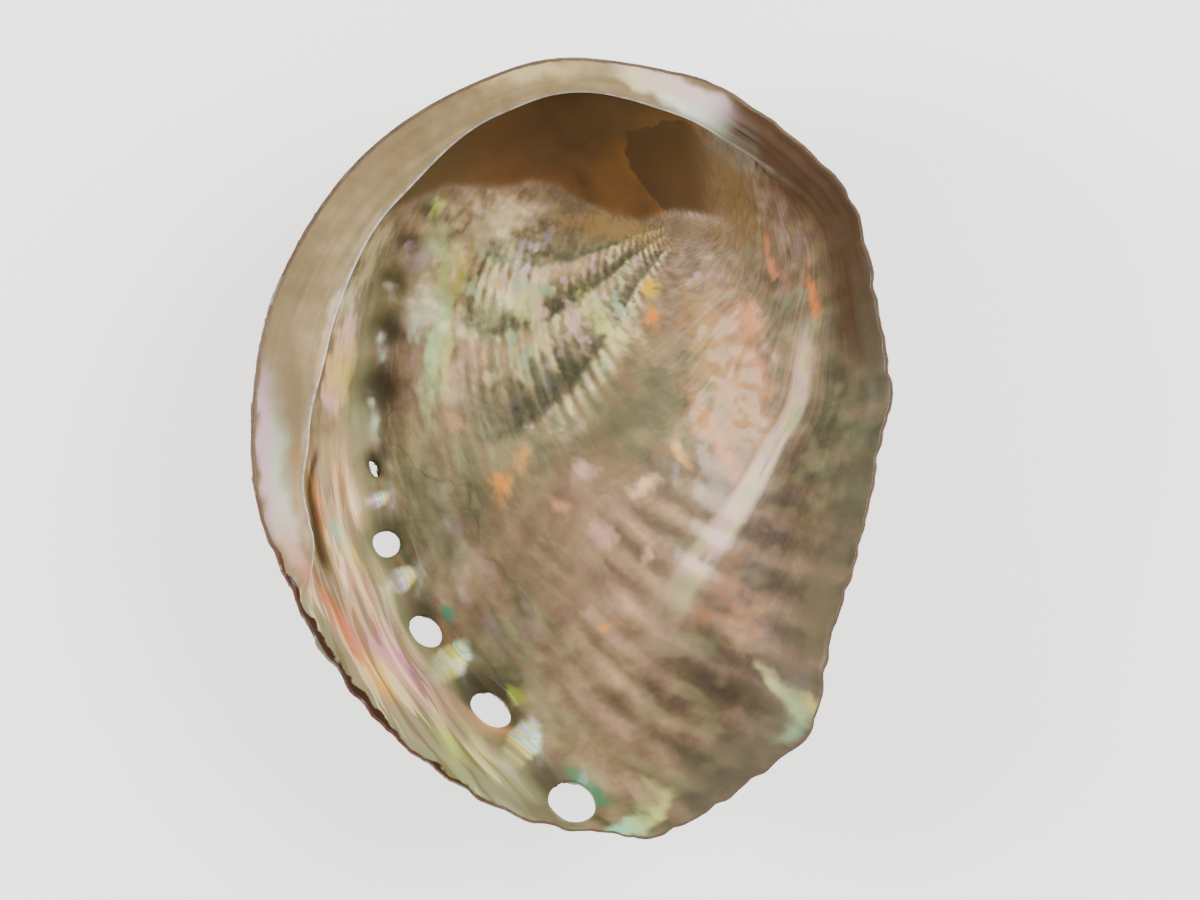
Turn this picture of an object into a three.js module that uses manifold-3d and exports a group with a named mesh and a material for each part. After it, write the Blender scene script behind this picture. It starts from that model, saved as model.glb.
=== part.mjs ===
// An abalone shell lying on its back with the open side up. Millimetres, +Z up, the outer lip on +X.
//
// The shell is one solid. Its surface is a single sheet wrapped round a section: from the middle of the
// bowl outwards, over the inturned ledge, round the rim, and back under the shell to the middle again.

import * as THREE from 'three';
import { ParametricGeometry } from 'three/addons/geometries/ParametricGeometry.js';
import { mergeVertices } from 'three/addons/utils/BufferGeometryUtils.js';
import Module from 'manifold-3d';

const DEG = Math.PI / 180;

// Overall sizes.
const RIM_HEIGHT = 36;        // rim above the deepest point of the bowl
const MIDDLE = new THREE.Vector3(-5, 5, 0);  // the deepest point, seen from above
const RIM_WAVE = 1.5;         // how far the rim rises and falls on its way round
const RIM_EVENNESS = 0.75;    // share of the outline's waves that doesn't show in the rim's height
const RIM_WAVE_TURN = 10;     // direction of the rim's high sides, in degrees
const WALL = 2.6;             // thickness of the shell
const EDGE_ROUNDING = 0.07;   // share of the radius over which the wall thins to its edge
const DOME = 0.3;             // share of the bowl's depth that is a plain dish, under its steeper walls
const RELIEF_FADE = [0.86, 0.99];  // shares of the radius between which all relief fades out, before the rim
const REST_CUT = 0.45;        // depth of the worn flat that the shell rests on

// The rim seen from above, anticlockwise from the widest point of the outer lip.
const RIM_POINTS = [
  [63.2, 10.8], [61.0, 25.6], [56.0, 48.2], [45.9, 60.2], [35.0, 68.5], [23.6, 74.2],
  [0.0, 77.9], [-16.6, 74.2], [-34.7, 64.4], [-48.4, 50.8], [-59.3, 31.0], [-63.4, 11.0],
  [-63.2, -8.3], [-58.7, -22.3], [-49.2, -40.9], [-35.3, -57.7], [-17.0, -70.8], [-2.4, -75.8],
  [8.0, -76.8], [13.6, -78.0], [24.0, -74.2], [39.6, -63.2], [46.6, -57.4], [49.2, -50.2],
  [51.2, -38.2], [55.6, -24.2], [59.2, -9.2], [61.2, 1.8],
];

// Values that change round the rim: [direction in degrees, value].
const WALL_POWER = [[0, 2.4], [45, 2.9], [80, 3.8], [120, 5], [180, 6], [235, 5.5], [262, 3.4], [290, 2.2]];
const LEDGE_WIDTH = [[40, 12], [66, 9.2], [86, 6.4], [102, 7.6], [125, 11], [158, 12.8], [178, 11],
  [192, 9], [206, 7], [214, 5]];
const LEDGE_STRENGTH = [[40, 0], [66, 0.8], [84, 1], [201, 1], [211, 0]];
const LEDGE_FOOT = [[35, 14], [66, 9], [86, 3.5], [200, 3.5], [220, 5], [320, 6]];

// The ledge's section: share of its width inwards, and drop below the rim.
const LEDGE_SECTION = [[0, 0], [0.5, 0.5], [0.88, 1.3], [1, 2.4], [0.86, 3.5], [0.5, 5.2]];

// Growth: each new part of the shell lies on a spiral about the apex.
const APEX = new THREE.Vector2(22, 47.5);
const GROWTH_RATE = 0.627;    // spiral's growth for each radian
const PORE_TRACK = { radius: 120.1, angle: 259.5 * DEG, sweep: 79.4 * DEG, bulge: 0.047 };
const TRACK_FADES = { old: 30 * DEG, young: 10 * DEG };  // how gently the row's two ends fade in
const KEEL = { depth: 2.2, width: 6 };
const SPIRE = { depth: 3.6, width: 13 };
const TUBERCLE = { depth: 1.8, width: 5 };

// Open pores along the track, youngest first: the oval's middle and its two widths.
const PORES = [
  { at: new THREE.Vector2(-0.3, -69.8), long: 9.4, wide: 6.6 },
  { at: new THREE.Vector2(-16.8, -52.3), long: 9.2, wide: 4.9 },
  { at: new THREE.Vector2(-29.9, -37.0), long: 7.4, wide: 4.6 },
  { at: new THREE.Vector2(-38.2, -19.4), long: 5.5, wide: 4.9 },
  { at: new THREE.Vector2(-41.0, -4.1), long: 3.7, wide: 1.5 },
];
const PORE_SIDES = 20;
const PORE_TWIST = 14 * DEG;  // turn of each oval away from the row
const CUTTER_LENGTH = 100;

// Steps round the rim, and along the section's three stretches.
const SPOKES = 128;
const EVENING = [-0.06, -0.04, -0.02, 0, 0.02, 0.04, 0.06];  // turns over which the bowl evens out the rim's corners
const SLOPE_STEP = 0.01;      // share of a spoke over which the bowl's slope is taken
const BOWL_RINGS = 13;
const LEDGE_RINGS = 8;
const BACK_RINGS = 11;
const RINGS = BOWL_RINGS + LEDGE_RINGS + BACK_RINGS;
const BOWL_SPACING = 0.85;    // below 1, the bowl's rings draw closer towards the ledge
const BACK_SPACING = 1.4;     // above 1, the back's rings draw closer towards the rim
const WELD = 1e-3;

const rim = new THREE.CatmullRomCurve3(
  RIM_POINTS.map(([x, y]) => new THREE.Vector3(x, y, 0)), true, 'catmullrom', 0.5);
rim.arcLengthDivisions = 1000;

// A value from one of the tables above, eased between its directions.
function around(table, degrees) {
  const turned = table.map(([at]) => (degrees - at + 720) % 360);
  const before = turned.indexOf(Math.min(...turned));
  const after = (before + 1) % table.length;
  const gap = (table[after][0] - table[before][0] + 360) % 360;
  const ease = (1 - Math.cos(Math.PI * turned[before] / gap)) / 2;
  return THREE.MathUtils.lerp(table[before][1], table[after][1], ease);
}

// One spoke: the rim point it runs to, and the values of its section.
function spokeAt(turn) {
  const end = rim.getPointAt(turn % 1);
  const degrees = (Math.atan2(end.y, end.x) / DEG + 360) % 360;
  const near = EVENING.map((step) => rim.getPointAt((turn + step + 1) % 1).distanceTo(MIDDLE));
  return {
    end,
    radius: end.distanceTo(MIDDLE),
    evenRadius: near.reduce((sum, length) => sum + length) / near.length,
    height: RIM_HEIGHT + RIM_WAVE * Math.cos(2 * (degrees - RIM_WAVE_TURN) * DEG),
    power: around(WALL_POWER, degrees),
    ledgeWidth: around(LEDGE_WIDTH, degrees),
    ledgeStrength: around(LEDGE_STRENGTH, degrees),
    foot: around(LEDGE_FOOT, degrees),
  };
}

const bell = (distance, width) => Math.exp(-((distance / width) ** 2));

function trackRadius(angle) {
  const back = PORE_TRACK.angle - angle;
  const bulge = 1 + PORE_TRACK.bulge * Math.sin(Math.PI * back / PORE_TRACK.sweep);
  return PORE_TRACK.radius * Math.exp(-GROWTH_RATE * back) * bulge;
}

// How far the keel along the pores, and the spire's bump, push the shell down at a point.
function relief(x, y) {
  const dx = x - APEX.x;
  const dy = y - APEX.y;
  const radius = Math.hypot(dx, dy);
  const angle = (Math.atan2(dy, dx) + 2 * Math.PI) % (2 * Math.PI);
  const start = PORE_TRACK.angle - PORE_TRACK.sweep;
  const along = THREE.MathUtils.smoothstep(angle, start, start + TRACK_FADES.old);
  const ahead = 1 - THREE.MathUtils.smoothstep(angle, PORE_TRACK.angle, PORE_TRACK.angle + TRACK_FADES.young);
  const across = (radius - trackRadius(angle)) / Math.hypot(1, GROWTH_RATE);
  return KEEL.depth * bell(across, KEEL.width) * along * ahead + SPIRE.depth * bell(radius, SPIRE.width);
}

function tubercles(x, y) {
  const heights = PORES.map(({ at }) => bell(Math.hypot(x - at.x, y - at.y), TUBERCLE.width));
  return TUBERCLE.depth * Math.max(...heights);
}

// Relief fades out towards the rim, so that the edge stays where the outline puts it.
const rimFade = (share) => 1 - THREE.MathUtils.smoothstep(share, ...RELIEF_FADE);

// The bowl's height at a share of the spoke, before any relief. Inside, it ignores the rim's corners.
function bowlHeight(spoke, share) {
  const inside = 1 - RIM_EVENNESS * share ** 4;
  const out = share * THREE.MathUtils.lerp(1, spoke.radius / spoke.evenRadius, inside);
  return spoke.height * THREE.MathUtils.lerp(out ** spoke.power, out ** 2, DOME);
}

function bowlPoint(spoke, share, target) {
  target.lerpVectors(MIDDLE, spoke.end, share);
  return target.setZ(bowlHeight(spoke, share) - relief(target.x, target.y) * rimFade(share));
}

const ledgeCurve = (spoke) => new THREE.SplineCurve([
  ...LEDGE_SECTION.map(([inwards, drop]) => new THREE.Vector2(inwards * spoke.ledgeWidth, -drop)),
  new THREE.Vector2(spoke.foot, bowlHeight(spoke, 1 - spoke.foot / spoke.radius) - bowlHeight(spoke, 1)),
]);

// From the rim (0) over the ledge and under it to its foot on the bowl's wall (1).
function ledgePoint(spoke, step, target) {
  const plain = bowlPoint(spoke, 1 - spoke.foot * step / spoke.radius, target);
  const folded = ledgeCurve(spoke).getPoint(step);
  const fold = spoke.end.clone().lerp(MIDDLE, folded.x / spoke.radius);
  fold.setZ(bowlHeight(spoke, 1) + folded.y);
  return plain.lerp(fold, spoke.ledgeStrength);
}

// The outside: the bowl's section moved out by the wall's thickness, square to its slope.
function backPoint(spoke, share, target) {
  const rise = bowlHeight(spoke, share) - bowlHeight(spoke, Math.max(0, share - SLOPE_STEP));
  const slope = rise / (SLOPE_STEP * spoke.radius);
  const nearEdge = Math.max(0, (share - 1 + EDGE_ROUNDING) / EDGE_ROUNDING);
  const thickness = WALL * Math.sqrt(1 - nearEdge ** 2);
  const outwards = thickness * slope / Math.hypot(1, slope);
  const inner = bowlPoint(spoke, share, target).z;
  const lump = tubercles(target.x, target.y) * rimFade(share);
  target.lerpVectors(MIDDLE, spoke.end, share + outwards / spoke.radius);
  return target.setZ(inner - thickness / Math.hypot(1, slope) - lump);
}

// A point of the sheet. The spokes run clockwise, which makes the faces look outwards.
function shellPoint(turn, along, target) {
  const spoke = spokeAt(1 - turn);
  const ring = Math.round(along * RINGS);
  if (ring < BOWL_RINGS) {
    const footShare = 1 - spoke.foot / spoke.radius;
    return bowlPoint(spoke, footShare * (ring / BOWL_RINGS) ** BOWL_SPACING, target);
  }
  if (ring <= BOWL_RINGS + LEDGE_RINGS) {
    return ledgePoint(spoke, 1 - (ring - BOWL_RINGS) / LEDGE_RINGS, target);
  }
  const back = (ring - BOWL_RINGS - LEDGE_RINGS) / BACK_RINGS;
  return backPoint(spoke, 1 - back ** BACK_SPACING, target);
}

// Welds a geometry's corners, drops the slivers left at its poles, and makes it a solid.
function solidOf(geometry, wasm) {
  const bare = geometry.clone();
  bare.deleteAttribute('normal');
  bare.deleteAttribute('uv');
  const welded = mergeVertices(bare, WELD);
  const corners = Array.from(welded.index.array);
  const triVerts = [];
  for (let i = 0; i < corners.length; i += 3) {
    const [a, b, c] = corners.slice(i, i + 3);
    if (a !== b && b !== c && c !== a) triVerts.push(a, b, c);
  }
  const mesh = new wasm.Mesh({
    numProp: 3,
    vertProperties: new Float32Array(welded.attributes.position.array),
    triVerts: new Uint32Array(triVerts),
  });
  return new wasm.Manifold(mesh);
}

function geometryOf(solid) {
  const { vertProperties, triVerts } = solid.getMesh();
  const geometry = new THREE.BufferGeometry();
  geometry.setAttribute('position', new THREE.BufferAttribute(vertProperties, 3));
  geometry.setIndex(new THREE.BufferAttribute(triVerts, 1));
  return geometry;
}

// An upright oval plug where a pore goes through, its long way along the row.
function poreCutter({ at, long, wide }) {
  const cutter = new THREE.CylinderGeometry(0.5, 0.5, CUTTER_LENGTH, PORE_SIDES);
  const fromApex = Math.atan2(at.y - APEX.y, at.x - APEX.x);
  cutter.rotateX(Math.PI / 2);
  cutter.scale(long, wide, 1);
  cutter.rotateZ(fromApex + Math.atan(1 / GROWTH_RATE) + PORE_TWIST);
  cutter.translate(at.x, at.y, 0);
  return cutter;
}

function buildShell(wasm) {
  const wall = new ParametricGeometry(shellPoint, SPOKES, RINGS);
  let shell = solidOf(wall, wasm);
  for (const pore of PORES) {
    shell = shell.subtract(solidOf(poreCutter(pore), wasm));
  }
  return shell;
}

// Cuts the worn flat and brings it to z = 0, with the shell centred over the origin.
function setDown(shell, wasm) {
  const box = geometryOf(shell);
  box.computeBoundingBox();
  const { min, max } = box.boundingBox;
  const floor = new THREE.BoxGeometry(2 * (max.x - min.x), 2 * (max.y - min.y), 2 * REST_CUT);
  floor.translate(0, 0, min.z);
  const cut = geometryOf(shell.subtract(solidOf(floor, wasm)));
  cut.translate(-(min.x + max.x) / 2, -(min.y + max.y) / 2, -min.z - REST_CUT);
  return cut;
}

const wasm = await Module();
wasm.setup();

const nacre = new THREE.MeshStandardMaterial({ color: 0x9a8a6e, roughness: 0.3, metalness: 0.2 });
const shell = new THREE.Mesh(setDown(buildShell(wasm), wasm), nacre);
shell.name = 'shell';

const object = new THREE.Group();
object.add(shell);

export default object;
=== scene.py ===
"""An abalone shell lying on its back, with mother-of-pearl inside and a crusted outside.

Lengths are millimetres, in the plan of the rim, until the finished mesh is brought to metres.
"""

import math

import bmesh
import bpy
import numpy as np
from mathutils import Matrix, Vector, noise


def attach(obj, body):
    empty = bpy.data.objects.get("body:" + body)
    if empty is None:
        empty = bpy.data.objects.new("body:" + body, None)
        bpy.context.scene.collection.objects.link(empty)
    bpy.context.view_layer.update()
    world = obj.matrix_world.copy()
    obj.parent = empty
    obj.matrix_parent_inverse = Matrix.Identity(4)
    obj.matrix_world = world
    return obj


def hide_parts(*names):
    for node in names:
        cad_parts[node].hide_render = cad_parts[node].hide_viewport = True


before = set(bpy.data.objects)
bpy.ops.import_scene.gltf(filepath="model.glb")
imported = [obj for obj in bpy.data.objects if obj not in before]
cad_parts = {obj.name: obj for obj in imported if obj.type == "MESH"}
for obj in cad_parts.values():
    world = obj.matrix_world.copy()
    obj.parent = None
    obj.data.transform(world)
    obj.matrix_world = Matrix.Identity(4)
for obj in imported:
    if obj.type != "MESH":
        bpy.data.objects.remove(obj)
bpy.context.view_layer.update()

MM = 0.001
SEED_STEP = 17.3               # shifts one noise away from the next

# Overall sizes.
RIM_HEIGHT = 36.0              # rim above the deepest point of the bowl
RIM_EVENNESS = 0.75            # share of the outline's waves that doesn't show in the rim's height
RIM_WAVE = 1.5                 # how far the rim rises and falls on its way round
RIM_WAVE_TURN = 10             # direction of the rim's high sides, in degrees
WALL = 2.6                     # thickness of the shell
EDGE_ROUNDING = 0.07           # share of the radius over which the wall thins to its edge
MIDDLE = np.array([-5.0, 5.0])  # the deepest point, seen from above
DOME = 0.3                     # share of the bowl's depth that is a plain dish
REST_CUT = 0.45                # depth of the worn flat that the shell rests on

# The rim seen from above, anticlockwise from the widest point of the outer lip.
RIM_POINTS = np.array([
    (63.2, 10.8), (61.0, 25.6), (56.0, 48.2), (45.9, 60.2), (35.0, 68.5), (23.6, 74.2),
    (0.0, 77.9), (-16.6, 74.2), (-34.7, 64.4), (-48.4, 50.8), (-59.3, 31.0), (-63.4, 11.0),
    (-63.2, -8.3), (-58.7, -22.3), (-49.2, -40.9), (-35.3, -57.7), (-17.0, -70.8), (-2.4, -75.8),
    (8.0, -76.8), (13.6, -78.0), (24.0, -74.2), (39.6, -63.2), (46.6, -57.4), (49.2, -50.2),
    (51.2, -38.2), (55.6, -24.2), (59.2, -9.2), (61.2, 1.8),
])

# Values that change round the rim: (direction in degrees, value).
WALL_POWER = ((0, 2.4), (45, 2.9), (80, 3.8), (120, 5), (180, 6), (235, 5.5), (262, 3.4), (290, 2.2))
LEDGE_WIDTH = ((40, 12), (66, 9.2), (86, 6.4), (102, 7.6), (125, 11), (158, 12.8), (178, 11),
               (192, 9), (206, 7), (214, 5))
LEDGE_STRENGTH = ((40, 0), (66, 0.8), (84, 1), (201, 1), (211, 0))
LEDGE_FOOT = ((35, 14), (66, 9), (86, 3.5), (200, 3.5), (220, 5), (320, 6))
SCALLOP = ((20, 0.5), (60, 0.25), (90, 0), (180, 0), (205, 0.5), (245, 0.5), (285, 0.5), (340, 0.5))

# The ledge's section: share of its width inwards, and drop below the rim.
LEDGE_SECTION = ((0, 0), (0.5, 0.5), (0.88, 1.3), (1, 2.4), (0.86, 3.5), (0.5, 5.2))

# Growth: each new part of the shell lies on a spiral about the apex.
APEX = np.array([22.0, 47.5])
GROWTH_RATE = 0.627            # spiral's growth for each radian
CORD_SPACING = 5.6             # between the spiral cords where they reach the lip
RIB_COUNT = 50                 # broad ribs round the whole rim
OLDEST = 5.0                   # age of the apex, in radians of growth
LIP_REACH = 60.0               # distance from the apex that the growth lines are spaced by, at the lip
PORE_TRACK = dict(radius=120.1, angle=math.radians(259.5), sweep=math.radians(79.4), bulge=0.047)
KEEL = dict(depth=2.2, width=6)
SPIRE = dict(depth=3.6, width=13)
FOLD_STAGES = (0.5, 0.95, 1.3, 1.6)  # the old lips that the shell keeps; the first shows in colour only
FOLD_LEAN = 0.0036             # how fast an old lip leans towards the apex,
FOLD_LEAN_CORD = 68.5          # past this cord
VIVIDNESS = 1.3                # how much stronger the spots' colours are made
SPOT_SOFTNESS = 0.6            # share of a spot's length and width at which it has faded to a third
SHEEN_AGE = 0.315              # the painted pale sheen along the outer lip

# Pores along the track, youngest first: the oval's middle and its two widths.
OPEN_PORES = (
    (-0.3, -69.8, 9.4, 6.6), (-16.8, -52.3, 9.2, 4.9), (-29.9, -37.0, 7.4, 4.6),
    (-38.2, -19.4, 5.5, 4.9), (-41.0, -4.1, 3.7, 1.5),
)
CLOSED_PORES = (
    (-41.2, 12.4, 5.2), (-39.6, 24.2, 4.2), (-37.6, 33.6, 3.2), (-34.2, 41.0, 2.6), (-29.0, 47.6, 2.0),
)

PORE_TWIST = math.radians(14)  # turn of each oval away from the row
RISE_PLACE = 0.6               # where each rise lies, from the younger pore to the older
RIPPLE_REACH = 5.0             # how far beside the row the arcs on each rise have their middle
RIPPLE_WIDTH = 6.0             # how far along the row the arcs reach,
RIPPLE_GAP = 20.0              # and what is added to their distance past that
FAR = 99.0                     # a distance that is past every arc

# Steps round the rim and along a spoke.
SPOKES = 420
BOWL_RINGS = 78
LEDGE_RINGS = 30
RINGS = BOWL_RINGS + LEDGE_RINGS
RIM_SHARE = 0.9985             # points past this share of the radius are the rim
MIDDLE_WELD = 0.001            # joins the disc's points that meet at its middle
RIM_WELD = 0.02                # joins the lining to the crust at the rim
AGE_HALVINGS = 24              # steps in which the age of a point is found


# ---------------------------------------------------------------- plan of the shell

def closed_curve(points, steps=60):
    """A smooth closed line through the points, and how far along it each of its own points lies."""
    at = np.arange(len(points) * steps) / steps
    start = at.astype(int)
    part = (at - start)[:, None]
    a, b, c, d = (points[(start + shift) % len(points)] for shift in (-1, 0, 1, 2))
    line = 0.5 * (2 * b + (c - a) * part + (2 * a - 5 * b + 4 * c - d) * part ** 2
                  + (3 * b - a - 3 * c + d) * part ** 3)
    line = np.vstack([line, line[:1]])
    length = np.concatenate([[0], np.cumsum(np.linalg.norm(np.diff(line, axis=0), axis=1))])
    return line, length


RIM_LINE, RIM_LENGTH = closed_curve(RIM_POINTS)
RIM_TURN = RIM_LENGTH / RIM_LENGTH[-1]


def rim_at(turn):
    """The rim's point at a share of the way round."""
    turn = np.mod(turn, 1)
    return np.column_stack([np.interp(turn, RIM_TURN, RIM_LINE[:, axis]) for axis in (0, 1)])


def around(table, degrees):
    """A value from one of the tables above, eased between its directions."""
    keys = np.array([key for key, _ in table] + [table[0][0] + 360])
    values = np.array([value for _, value in table] + [table[0][1]])
    turned = np.mod(degrees - keys[0], 360) + keys[0]
    before = np.searchsorted(keys, turned, side="right") - 1
    part = (turned - keys[before]) / (keys[before + 1] - keys[before])
    ease = (1 - np.cos(np.pi * part)) / 2
    return values[before] + (values[before + 1] - values[before]) * ease


def colour(code):
    """A colour written as six hexadecimal digits, as the shader's own linear values."""
    parts = [int(code[index:index + 2], 16) / 255 for index in (0, 2, 4)]
    linear = [part / 12.92 if part < 0.04045 else ((part + 0.055) / 1.055) ** 2.4 for part in parts]
    return (*linear, 1)


def bell(distance, width):
    """1 at no distance, fading evenly to 0 past the width."""
    return np.exp(-(distance / width) ** 2)


def smooth(value, low, high):
    """0 below low, 1 above high, and an even curve between."""
    part = np.clip((value - low) / (high - low), 0, 1)
    return part * part * (3 - 2 * part)


def fade(value, low, high):
    """1 below low, 0 above high, and an even curve between."""
    return 1 - smooth(value, low, high)


def between(value, low, low_end, high, high_end):
    """0 outside low and high_end, 1 from low_end to high."""
    return smooth(value, low, low_end) * fade(value, high, high_end)


def turn_of(plan):
    """Where on the rim the spoke through a point of the plan ends."""
    rim_angle = np.unwrap(np.arctan2(*(RIM_LINE - MIDDLE).T[::-1]))
    angle = np.arctan2(*(plan - MIDDLE).T[::-1])
    angle = np.mod(angle - rim_angle[0], 2 * np.pi) + rim_angle[0]
    return np.interp(angle, rim_angle, RIM_TURN)


def along_track(plan):
    """Distance out from the row of pores, and 1 beside the row, fading past its two ends."""
    reach = plan - APEX
    radius = np.linalg.norm(reach, axis=1)
    angle = np.mod(np.arctan2(reach[:, 1], reach[:, 0]), 2 * np.pi)
    back = PORE_TRACK["angle"] - angle
    bulge = 1 + PORE_TRACK["bulge"] * np.sin(np.pi * back / PORE_TRACK["sweep"])
    track = PORE_TRACK["radius"] * np.exp(-GROWTH_RATE * back) * bulge
    start = PORE_TRACK["angle"] - PORE_TRACK["sweep"]
    beside = smooth(angle, start, start + math.radians(30))
    beside *= fade(angle, PORE_TRACK["angle"], PORE_TRACK["angle"] + math.radians(10))
    return (radius - track) / math.hypot(1, GROWTH_RATE), beside


def row_direction(x, y):
    """The long way of a pore, in radians: nearly along the row, towards its young end."""
    return math.atan2(y - APEX[1], x - APEX[0]) + math.atan(1 / GROWTH_RATE) + PORE_TWIST


def row_frame(plan, x, y):
    """Distances from a place on the row of pores, along the row towards its old end, and across it."""
    turned = row_direction(x, y)
    dx, dy = plan[:, 0] - x, plan[:, 1] - y
    along = dx * math.cos(turned) + dy * math.sin(turned)
    return -along, dy * math.cos(turned) - dx * math.sin(turned)


def growth(plan):
    """Age of each point, in radians of growth, and the number of the spiral cord that it lies on."""
    reach = RIM_LINE[:-1] - APEX
    angle = np.unwrap(np.arctan2(reach[:, 1], reach[:, 0]))
    order = np.argsort(angle)
    angle, lip = angle[order], np.log(np.linalg.norm(reach, axis=1))[order]
    cord = RIM_LENGTH[:-1][order] / CORD_SPACING
    here = plan - APEX
    radius = np.maximum(np.linalg.norm(here, axis=1), 0.5)
    bearing = np.arctan2(here[:, 1], here[:, 0])
    cut = math.radians(80)
    bearing = np.mod(bearing - cut, 2 * np.pi) + cut
    young, old = np.zeros(len(plan)), np.full(len(plan), OLDEST)
    for _ in range(AGE_HALVINGS):
        age = (young + old) / 2
        lip_here = np.interp(bearing + age, angle, lip, period=2 * np.pi)
        inside = np.log(radius) + GROWTH_RATE * age < lip_here
        young = np.where(inside, age, young)
        old = np.where(inside, old, age)
    turns = bearing + age
    whole = np.floor((turns - angle[0]) / (2 * np.pi))
    number = np.interp(turns - whole * 2 * np.pi, angle, cord) + whole * cord[-1]
    return age, number


def rib_number(cord):
    """The number of the broad rib that lies at a cord."""
    return cord * RIB_COUNT * CORD_SPACING / RIM_LENGTH[-1]


def lumps(points, size, seed):
    """Soft random lumps of about the given size, from -1 to 1."""
    shift = Vector((seed * SEED_STEP, -seed * SEED_STEP, seed))
    return np.array([noise.noise(Vector(point) / size + shift) for point in points])


# ---------------------------------------------------------------- the two sheets

def spokes_at(turn):
    """The rim point that each spoke runs to, and the values of its section."""
    end = rim_at(turn)
    degrees = np.degrees(np.arctan2(end[:, 1], end[:, 0]))
    radius = np.linalg.norm(end - MIDDLE, axis=1)
    near = [np.linalg.norm(rim_at(turn + step) - MIDDLE, axis=1) for step in np.arange(-3, 4) * 0.02]
    return dict(
        end=end, degrees=degrees, radius=radius, even=np.mean(near, axis=0),
        height=RIM_HEIGHT + RIM_WAVE * np.cos(2 * np.radians(degrees - RIM_WAVE_TURN)),
        power=around(WALL_POWER, degrees), width=around(LEDGE_WIDTH, degrees),
        strength=around(LEDGE_STRENGTH, degrees), foot=around(LEDGE_FOOT, degrees),
    )


def bowl_height(spoke, share):
    inside = 1 - RIM_EVENNESS * share ** 4
    out = share * (1 + (spoke["radius"] / spoke["even"] - 1) * inside)
    return spoke["height"] * ((1 - DOME) * out ** spoke["power"] + DOME * out ** 2)


def spline(controls, step):
    """Points of a smooth line through control points, each with its own step from 0 to 1."""
    last = len(controls) - 1
    at = np.clip(step, 0, 1) * last
    start = np.minimum(at.astype(int), last - 1)
    part = (at - start)[:, None]
    rows = np.arange(len(step))
    a, b, c, d = (controls[np.clip(start + shift, 0, last), rows] for shift in (-1, 0, 1, 2))
    return 0.5 * (2 * b + (c - a) * part + (2 * a - 5 * b + 4 * c - d) * part ** 2
                  + (3 * b - a - 3 * c + d) * part ** 3)


def base_relief(plan, share):
    """How far the keel under the pores and the spire's hollow push both sheets down."""
    across, beside = along_track(plan)
    spire = SPIRE["depth"] * bell(np.linalg.norm(plan - APEX, axis=1), SPIRE["width"])
    return (KEEL["depth"] * bell(across, KEEL["width"]) * beside + spire) * fade(share, 0.86, 0.99)


def inner_sheet(plan, share, spoke):
    """The bowl, with the ledge folded in over it."""
    height = bowl_height(spoke, share) - base_relief(plan, share)
    bowl = np.column_stack([plan, height])
    rim_height = bowl_height(spoke, 1)
    foot_share = 1 - spoke["foot"] / spoke["radius"]
    controls = [np.column_stack([inwards * spoke["width"], -drop + 0 * rim_height])
                for inwards, drop in LEDGE_SECTION]
    controls.append(np.column_stack([spoke["foot"], bowl_height(spoke, foot_share) - rim_height]))
    step = (1 - share) / (1 - foot_share)
    fold = spline(np.array(controls), step)
    fold_share = 1 - fold[:, 0] / spoke["radius"]
    fold_plan = MIDDLE + (spoke["end"] - MIDDLE) * fold_share[:, None]
    folded = np.column_stack([fold_plan, rim_height + fold[:, 1]])
    strength = np.where(step < 1, spoke["strength"], 0)[:, None]
    return bowl + (folded - bowl) * strength


def beside_pores(plan):
    """1 at an open pore's edge, fading to 0 a little way off, so that each pore goes straight down."""
    near = np.zeros(len(plan))
    for x, y, long, wide in OPEN_PORES:
        along, across = row_frame(plan, x, y)
        near = np.maximum(near, fade(np.hypot(along / long, across / wide), 0.52, 1.1))
    return near


def outer_sheet(plan, share, spoke):
    """The bowl moved out by the wall's thickness, square to its slope."""
    rise = bowl_height(spoke, share) - bowl_height(spoke, np.maximum(share - 0.01, 0))
    slope = rise / (0.01 * spoke["radius"])
    near_edge = np.maximum(0, (share - 1 + EDGE_ROUNDING) / EDGE_ROUNDING)
    thickness = WALL * np.sqrt(np.maximum(0, 1 - near_edge ** 2))
    outwards = thickness * slope / np.hypot(1, slope) * (1 - beside_pores(plan))
    outwards = share + outwards / spoke["radius"]
    height = bowl_height(spoke, share) - base_relief(plan, share) - thickness / np.hypot(1, slope)
    return np.column_stack([MIDDLE + (spoke["end"] - MIDDLE) * outwards[:, None], height])


# ---------------------------------------------------------------- relief

def scallops(share, spoke, cord):
    """The lip's scallops, one to each rib, and its small chips, as a push outwards at the edge."""
    along_rim = np.column_stack([spoke["end"], spoke["height"]])
    wave = np.abs(np.cos(np.pi * rib_number(cord))) - 0.6 + lumps(along_rim, 2.6, 41)
    return around(SCALLOP, spoke["degrees"]) * wave * smooth(share, 0.93, 1)


def funnels(plan):
    """The hollow that leads down into each open pore, longer on the pore's old side."""
    total = np.zeros(len(plan))
    for x, y, long, wide in OPEN_PORES:
        along, across = row_frame(plan, x, y)
        along = np.where(along > 0, along * 0.72, along)
        total += 0.42 * long * bell(np.hypot(along / long, across / wide), 0.62)
    return total


def crescents(plan):
    """Painted shade on the old side of each pore's funnel and of each pit."""
    total = np.zeros(len(plan))
    for x, y, long, wide in OPEN_PORES:
        along, across = row_frame(plan, x, y)
        total = np.maximum(total, bell(np.hypot(along - 0.5 * long, across + 0.1 * wide) / long, 0.5))
    for x, y, width in CLOSED_PORES:
        away = np.hypot(plan[:, 0] - x, plan[:, 1] - y - 0.2 * width)
        total = np.maximum(total, 0.9 * bell(away / width, 0.95))
    return total


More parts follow.
